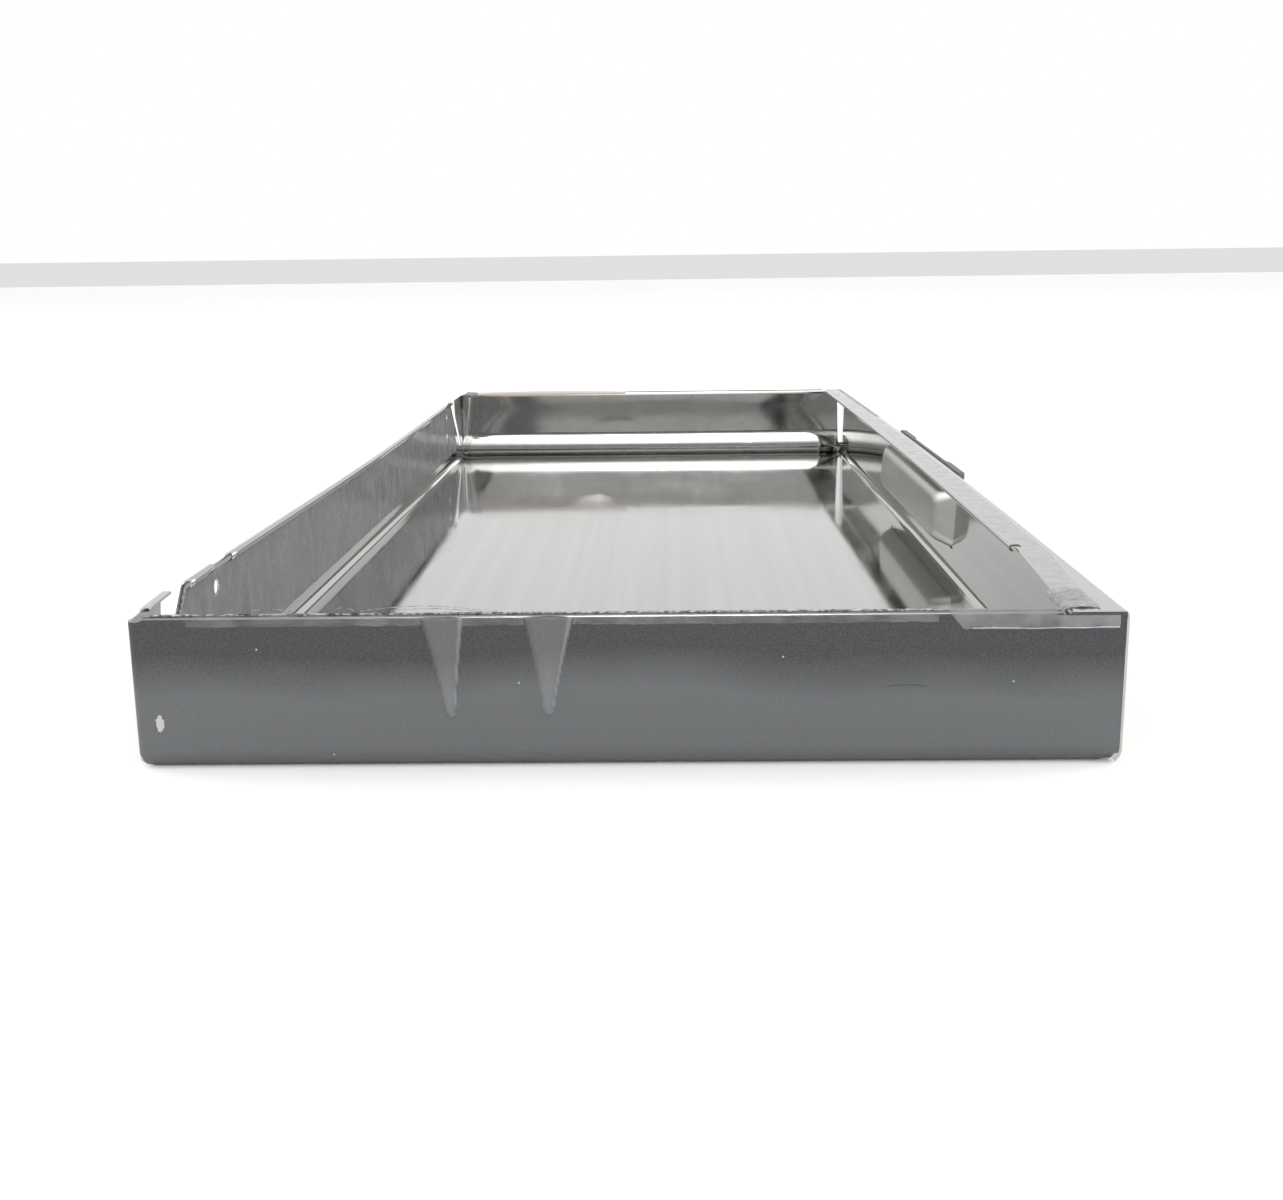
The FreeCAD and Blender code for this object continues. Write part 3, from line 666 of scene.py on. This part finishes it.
RIM_FILM_END = 93.5 * MM
film("rim_film", (RIM_FILM_END + 132 * MM, 6.2 * MM), 0.7 * MM, over_rim(-132 * MM, FRONT, 1, 3.2 * MM),
     pan_surface, clear, ("front_rim_film",), tear=(0.9 * MM, 1.2 * MM), tear_size=5 * MM,
     wrinkle=0.12 * MM, wrinkle_size=4 * MM, seed=5.0, layer=3)
film("rim_film_torn_edge", (RIM_FILM_END + 143 * MM, 0.9 * MM), 0.35 * MM,
     over_rim(-143 * MM, FRONT, 1, -0.2 * MM), pan_surface, white_edge,
     tear=(0.7 * MM, 0.7 * MM), tear_size=3 * MM, wrinkle=0.16 * MM, wrinkle_size=2.4 * MM, seed=9.0, layer=5)
for name, start, length, arch, seed in (("rim_strand_long", -84 * MM, 46 * MM, 2.0 * MM, 12.0),
                                        ("rim_strand_low", -76 * MM, 34 * MM, 1.2 * MM, 19.0),
                                        ("rim_strand_short", -89 * MM, 9 * MM, 1.7 * MM, 14.0),
                                        ("rim_strand_left", -116 * MM, 18 * MM, 1.4 * MM, 17.0)):
    film(name, (length, 0.7 * MM), 0.3 * MM, over_rim(start, FRONT, 1, -0.9 * MM, arch, length), pan_surface,
         white_edge, tear=(0.35 * MM, 0.35 * MM), tear_size=4 * MM, wrinkle=0.12 * MM,
         wrinkle_size=3 * MM, seed=seed, layer=6)

PATCH_DROP = 5.6 * MM


def patch(along, across):
    """Over the rolled rim up to the flange, and beyond it only down the outside of the wall.

    Its left end is torn on a slant, with a point that hangs lowest.
    """
    slant = 7.5 * MM * (1 - across / (9 * MM)) * max(1 - along / (9 * MM), 0.0)
    spot, _ = over_rim(RIM_FILM_END, FRONT, 1, PATCH_DROP)(along + slant, across)
    return spot, 0.0


film("rim_patch", (35 * MM, 9.0 * MM), 0.6 * MM, patch, pan_surface, patch_film,
     ("front_rim_tape",), tear=(0.4 * MM, 0.2 * MM), tear_size=14 * MM, wrinkle=0.08 * MM,
     wrinkle_size=9 * MM, seed=21.0, layer=4)


def patch_tail(along, across):
    """The patch runs on down the wall to the fascia, where the flange covers the rim."""
    return Vector((RIM_FILM_END + 35 * MM + along, FRONT - OFF, TOP - PATCH_DROP + across)), 0.0


film("rim_patch_tail", (18.8 * MM, 4.2 * MM), 0.5 * MM, patch_tail, pan_surface, patch_film,
     tear=(0.3 * MM, 0.0), tear_size=14 * MM, wrinkle=0.08 * MM, wrinkle_size=9 * MM, seed=22.0, layer=4)


def patch_edge(along, across):
    """Where the patch's lower edge has rolled up on itself into a pale line."""
    return Vector((RIM_FILM_END + 10 * MM + along, FRONT - OFF, TOP - PATCH_DROP + 0.2 * MM + across
                   + 0.5 * MM * noise.noise(Vector((along / 0.012, 3, 0))))), 0.0


film("rim_patch_edge", (43.5 * MM, 0.4 * MM), 0.3 * MM, patch_edge, pan_surface, rolled_edge,
     tear=(0.08 * MM, 0.08 * MM), tear_size=9 * MM, seed=24.0, layer=8)
TAPE = 128 * MM
film("back_tape", (TAPE, 7.0 * MM), 1.0 * MM, over_rim(LEFT + 2 * MM, BACK, -1, 3.4 * MM, 0.9 * MM, TAPE),
     pan_surface, tape, ("back_rim_tape",), tear=(0.3 * MM, 0.5 * MM), tear_size=20 * MM,
     wrinkle=0.06 * MM, wrinkle_size=12 * MM, seed=31.0)

# ------------------------------------------------------------------------------ film on the left wall
# Film on the wall's inner face, smeared with old adhesive. Its front end follows the slanted cut of
# the wall, where it tore as the corner was folded and turned white.
WALL_LOW, WALL_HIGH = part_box("left_wall_film")
WALL_FRONT_TOP = 56 * MM    # the film's front end, from the front wall: at its top edge and at its foot
WALL_FRONT_FOOT = 22 * MM
WALL_BACK_TOP = 71 * MM
WALL_BACK_FOOT = 36 * MM
HOLE_FROM_END, HOLE_CLEAR = 88 * MM, 2.9 * MM
HOLE_HEIGHTS = (38 * MM, 24.5 * MM)


# The same film left on under old adhesive, which has run into upright smears.
def smeared_film():
    mat, tree, out, place = new_material("polyethylene_film_smeared")
    smear = pattern(tree, place, (10 * MM, 30 * MM, 30 * MM), 4.0)
    fine = pattern(tree, place, (3 * MM, 8 * MM, 14 * MM), 3.0)
    both = maths(tree, "MULTIPLY", smear, fine)
    tone = blend(tree, between(tree, fine, 0.35, 0.65, 0.0, 1.0), colour("#8b8c8e"), colour("#9c9d9f"))
    body = add_node(tree, "ShaderNodeBsdfPrincipled", {
        "Base Color": tone, "Roughness": 0.45, "IOR": 1.5,
        "Alpha": between(tree, both, 0.15, 0.36, 0.30, 0.55)})
    tree.links.new(body.outputs[0], out.inputs[0])
    return mat


def left_film():
    size = (LENGTH - WALL_FRONT_FOOT - WALL_BACK_FOOT, WALL_HIGH[2] - WALL_LOW[2])

    def lay(along, across):
        rise = across / size[1]
        first = FRONT + WALL_FRONT_FOOT + (WALL_FRONT_TOP - WALL_FRONT_FOOT) * rise
        last = BACK - WALL_BACK_FOOT - (WALL_BACK_TOP - WALL_BACK_FOOT) * rise
        y = first + (last - first) * along / size[0]
        return Vector((LEFT + SHEET + OFF, y, WALL_LOW[2] + across)), 0.0

    def pierced(co):
        away = min(math.hypot(abs(co.y) - (BACK - HOLE_FROM_END), co.z - z) for z in HOLE_HEIGHTS)
        return away < HOLE_CLEAR + 0.6 * MM

    film("wall_film", size, 1.6 * MM, lay, pan_surface, smeared_film(), ("left_wall_film",),
         tear=(0.8 * MM, 0.3 * MM), tear_size=18 * MM, wrinkle=0.03 * MM, wrinkle_size=30 * MM, seed=41.0,
         pierced=pierced)


left_film()


def slanted_edge(along, across):
    """Along the wall's slanted front cut, from its foot up to the rim."""
    rise = along / (37 * MM)
    y = FRONT + (18 + 35 * rise) * MM + across
    return Vector((LEFT + SHEET + OFF, y, 9 * MM + along)), 0.0


film("wall_film_torn_end", (37 * MM, 1.6 * MM), 0.35 * MM, slanted_edge, pan_surface, white_edge,
     tear=(0.9 * MM, 0.7 * MM), tear_size=2.4 * MM, wrinkle=0.25 * MM, wrinkle_size=2 * MM,
     seed=44.0, layer=4)

# ------------------------------------------------------------------------------ film on the flange
# A strip of clear film on the inner half of the flange. Towards the front it is slit, and its end is
# crumpled and folded down over the flange's inner edge.
FLANGE_IN = RIGHT - 13 * MM     # middle of the flange's curled edge, along its length and at the front
FLANGE_IN_FRONT = RIGHT - 17 * MM
NOTCH = FRONT + 98 * MM


def flange_inner(y):
    """Where the flange's inner edge is: it widens towards the front corner."""
    return FLANGE_IN + (FLANGE_IN_FRONT - FLANGE_IN) * smooth_step(NOTCH, FRONT + 24 * MM, y)


def on_flange(along, across):
    """The strip's outer edge wanders, and draws in towards the front."""
    y = FRONT + 26 * MM + along
    reach = 9.0 * MM + 1.5 * MM * noise.noise(Vector((y / 0.07, 5, 0)))
    return Vector((flange_inner(y) + 0.4 * MM + across / (10 * MM) * reach, y, TOP + OFF)), 0.0


def slit(co):
    """A narrow slit across the strip beside the notch in the flange, and the notch itself."""
    inner = co.x - FLANGE_IN
    return (abs(co.y - NOTCH - 1.5 * MM) < 0.5 * MM and inner < 7 * MM
            or abs(co.y - NOTCH - 2.5 * MM) < 3 * MM and inner < 2.6 * MM)


film("flange_film", (LENGTH - 34 * MM, 10 * MM), 0.9 * MM, on_flange, fascia_surface, clear,
     ("flange_film",), tear=(0.3 * MM, 0.4 * MM), tear_size=25 * MM, wrinkle=0.04 * MM, wrinkle_size=14 * MM,
     seed=51.0, pierced=slit)


def flange_corner(along, across):
    """The crumpled end: flat on the flange, with its inner part turned down over the curled edge."""
    y = FRONT + 2.5 * MM + along
    inner = flange_inner(y)
    over = 3.0 * MM - across
    if over > 0:
        a = min(over / (1.3 * MM), 1.9)
        reach = 1.3 * MM + OFF
        return Vector((inner - reach * math.sin(a), y, TOP - 1.3 * MM + reach * math.cos(a))), 0.1 * MM
    return Vector((inner - over, y, TOP + OFF)), 0.3 * MM * math.sin(math.pi * min(-over / (8 * MM), 1.0))


film("flange_end", (26 * MM, 12 * MM), 0.4 * MM, flange_corner, fascia_surface, crumpled,
     ("flange_end_film",), tear=(1.2 * MM, 1.4 * MM), tear_size=4 * MM, wrinkle=0.7 * MM, wrinkle_size=5 * MM,
     seed=57.0, layer=2)

# ------------------------------------------------------------------------------ blue film scraps
# Scraps of a blue-tinted film: a tuft caught at the back left corner, and a strip that hangs over
# the flange's outer edge at the back.


# Blue polyethylene film, thin enough to tint the light rather than colour it.
def blue_film():
    mat, tree, out, place = new_material("polyethylene_film_blue")
    crinkle = pattern(tree, place, (4 * MM,) * 3, 3.0)
    relief = add_node(tree, "ShaderNodeBump", {"Strength": 0.5, "Distance": 0.3 * MM, "Height": crinkle})
    body = add_node(tree, "ShaderNodeBsdfPrincipled", {
        "Base Color": colour("#8fa3b8"), "Roughness": 0.25, "IOR": 1.5,
        "Alpha": between(tree, crinkle, 0.3, 0.7, 0.25, 0.6), "Normal": relief.outputs[0]})
    tree.links.new(body.outputs[0], out.inputs[0])
    return mat


blue = blue_film()
TUFT = 12 * MM
film("blue_tuft", (TUFT, 6.5 * MM), 0.5 * MM, over_rim(LEFT + 2 * MM, BACK, -1, 3.0 * MM, 0.6 * MM, TUFT),
     pan_surface, blue, ("blue_film_scraps",), tear=(0.8 * MM, 0.9 * MM), tear_size=3 * MM,
     wrinkle=0.3 * MM, wrinkle_size=3 * MM, seed=61.0, layer=3)


def over_outer_edge(along, across):
    """From the flange's top over its outer bend and a little way down the fascia."""
    y = BACK - 206 * MM + along
    flat = 2.0 * MM
    if across < flat:
        return Vector((RIGHT - 2.2 * MM - flat + across, y, TOP + OFF)), 0.0
    a = (across - flat) / (2.2 * MM)
    reach = 2.2 * MM + OFF
    return Vector((RIGHT - 2.2 * MM + reach * math.sin(a), y, TOP - 2.2 * MM + reach * math.cos(a))), 0.0


film("blue_strip", (202 * MM, 5.2 * MM), 0.8 * MM, over_outer_edge, fascia_surface, blue,
     tear=(0.5 * MM, 0.8 * MM), tear_size=14 * MM, wrinkle=0.1 * MM, wrinkle_size=9 * MM, seed=63.0)

# ------------------------------------------------------------------------------ studio
# A pale floor that runs back out of sight, a bright background behind the tray, white walls at its
# sides and a softbox above the camera, all read from the direction of the light, and a large dim
# lamp on either side. The camera looks down the tray's length.
floor_mesh = bpy.data.meshes.new("studio_floor")
floor_mesh.from_pydata([(-6, -6, 0), (6, -6, 0), (6, 9, 0), (-6, 9, 0)], [], [(0, 1, 2, 3)])
floor = bpy.data.objects.new("studio_floor", floor_mesh)
bpy.context.scene.collection.objects.link(floor)
paper, paper_tree, paper_out, _ = new_material("paper_background_matt_white")
paper_body = add_node(paper_tree, "ShaderNodeBsdfPrincipled", {
    "Base Color": colour("#fcfcfb"), "Roughness": 0.9})
paper_tree.links.new(paper_body.outputs[0], paper_out.inputs[0])
floor_mesh.materials.append(paper)

world = bpy.data.worlds.new("studio")
bpy.context.scene.world = world
world.use_nodes = True
sky = world.node_tree
sky.nodes.clear()
way = add_node(sky, "ShaderNodeSeparateXYZ", {0: add_node(sky, "ShaderNodeTexCoord").outputs["Generated"]})

# Angle over the tray from the camera's side (0) past straight up (0.5) to the background (1).
towards_camera = maths(sky, "MULTIPLY", way.outputs[1], -1.0)
over = maths(sky, "DIVIDE", maths(sky, "ARCTAN2", way.outputs[2], towards_camera), math.pi)
room = add_node(sky, "ShaderNodeValToRGB", {0: over})
stops = ((0.0, 0.75), (0.30, 0.75), (0.45, 0.42), (0.76, 0.40), (0.90, 1.0), (1.0, 1.0))
for k, (spot, level) in enumerate(stops):
    stop = room.color_ramp.elements[k] if k < 2 else room.color_ramp.elements.new(spot)
    stop.position = spot
    stop.color = (level, level, level, 1)
# A softbox above the camera, bright in its middle and fading to the sides.
lower_edge = between(sky, over, 0.055, 0.068, 0.0, 1.0)
upper_edge = between(sky, over, 0.24, 0.38, 1.0, 0.0)
aside = maths(sky, "POWER", maths(sky, "DIVIDE", way.outputs[0], 0.13), 2.0)
wide = maths(sky, "EXPONENT", maths(sky, "MULTIPLY", aside, -1.0))
box_light = maths(sky, "MULTIPLY", maths(sky, "MULTIPLY", lower_edge, upper_edge), wide)
# White walls close in on both sides.
side = between(sky, maths(sky, "ABSOLUTE", way.outputs[0]), 0.30, 0.75, 0.0, 1.5)
walls = maths(sky, "MAXIMUM", room.outputs[0], side)
total = maths(sky, "ADD", walls, maths(sky, "MULTIPLY", box_light, 5.2))
glow = add_node(sky, "ShaderNodeBackground", {0: (1.0, 1.0, 1.0, 1), 1: total})
add_node(sky, "ShaderNodeOutputWorld", {0: glow.outputs[0]})


def softbox(name, place, target, size, power):
    """A rectangular area light that faces a point."""
    data = bpy.data.lights.new(name, "AREA")
    data.shape = "RECTANGLE"
    data.size, data.size_y = size
    data.energy = power
    lamp = bpy.data.objects.new(name, data)
    lamp.location = place
    lamp.rotation_euler = (Vector(target) - Vector(place)).to_track_quat("-Z", "Y").to_euler()
    bpy.context.scene.collection.objects.link(lamp)


softbox("softbox_left", (-2.4, 0.0, 1.9), (0, 0, 0), (3.2, 2.4), 34)
softbox("softbox_right", (2.4, 0.0, 1.9), (0, 0, 0), (3.2, 2.4), 34)

# The camera stands 152 mm above the floor and 434 mm in front of the tray, 14 mm right of its middle.
eye = bpy.data.cameras.new("camera")
eye.sensor_width = 36
eye.lens = 41.98
camera = bpy.data.objects.new("camera", eye)
camera.location = (13.7 * MM, FRONT - 433.6 * MM, 152 * MM)
pitch, turn, tilt = math.radians(90 - 12.97), math.radians(1.135), math.radians(-0.72)
camera.rotation_euler = (Matrix.Rotation(turn, 3, "Z") @ Matrix.Rotation(pitch, 3, "X")
                         @ Matrix.Rotation(tilt, 3, "Z")).to_euler()
bpy.context.scene.collection.objects.link(camera)
bpy.context.scene.camera = camera
bpy.context.scene.view_settings.view_transform = "Standard"
